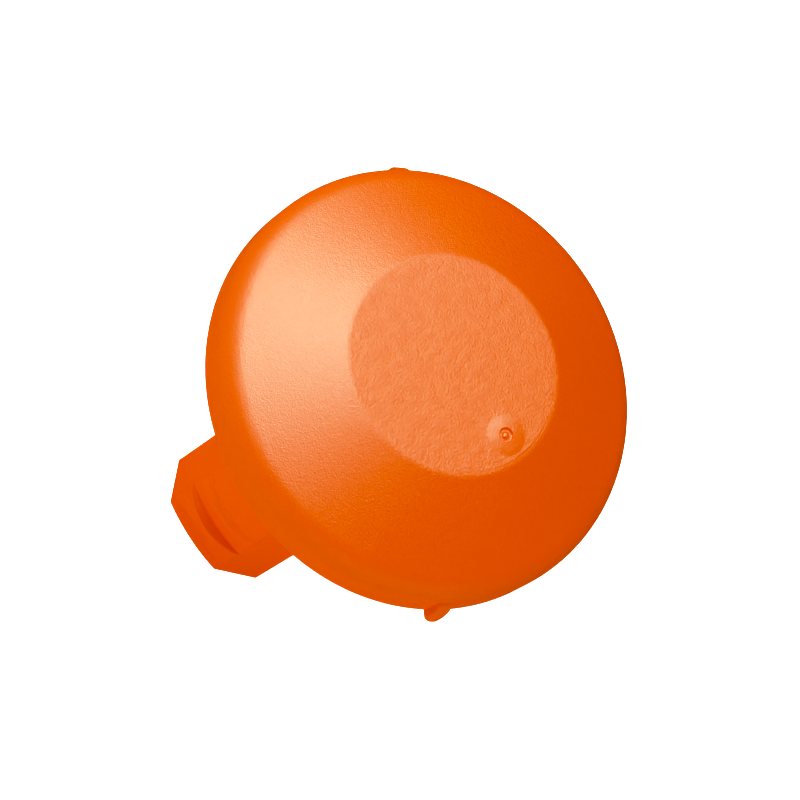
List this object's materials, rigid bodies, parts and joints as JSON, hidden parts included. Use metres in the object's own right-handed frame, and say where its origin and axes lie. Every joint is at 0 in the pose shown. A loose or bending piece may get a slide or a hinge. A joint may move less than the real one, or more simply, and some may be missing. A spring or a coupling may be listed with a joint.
{
  "type": "trimmer spool cover",
  "caption": "Orange plastic cover with a low domed cap, a flat crown and a hollow catch stem with flats; closes a grass trimmer's line head over the spool and taps the ground.",
  "frame": {"origin": "middle of the stem's free end, on the axis of the stem and the cap", "axes": "+Z along the axis from the stem's free end to the crown; the stem's flats face +X and -X and its catches face +Y and -Y"},
  "size_m": [0.06, 0.06, 0.074],
  "materials": {
    "orange_plastic": "satin, with a fine moulded grain on the cap and a rougher grain on the flat crown"
  },
  "bodies": {
    "root": {"spool_cover": "orange_plastic"}
  },
  "joints": []
}
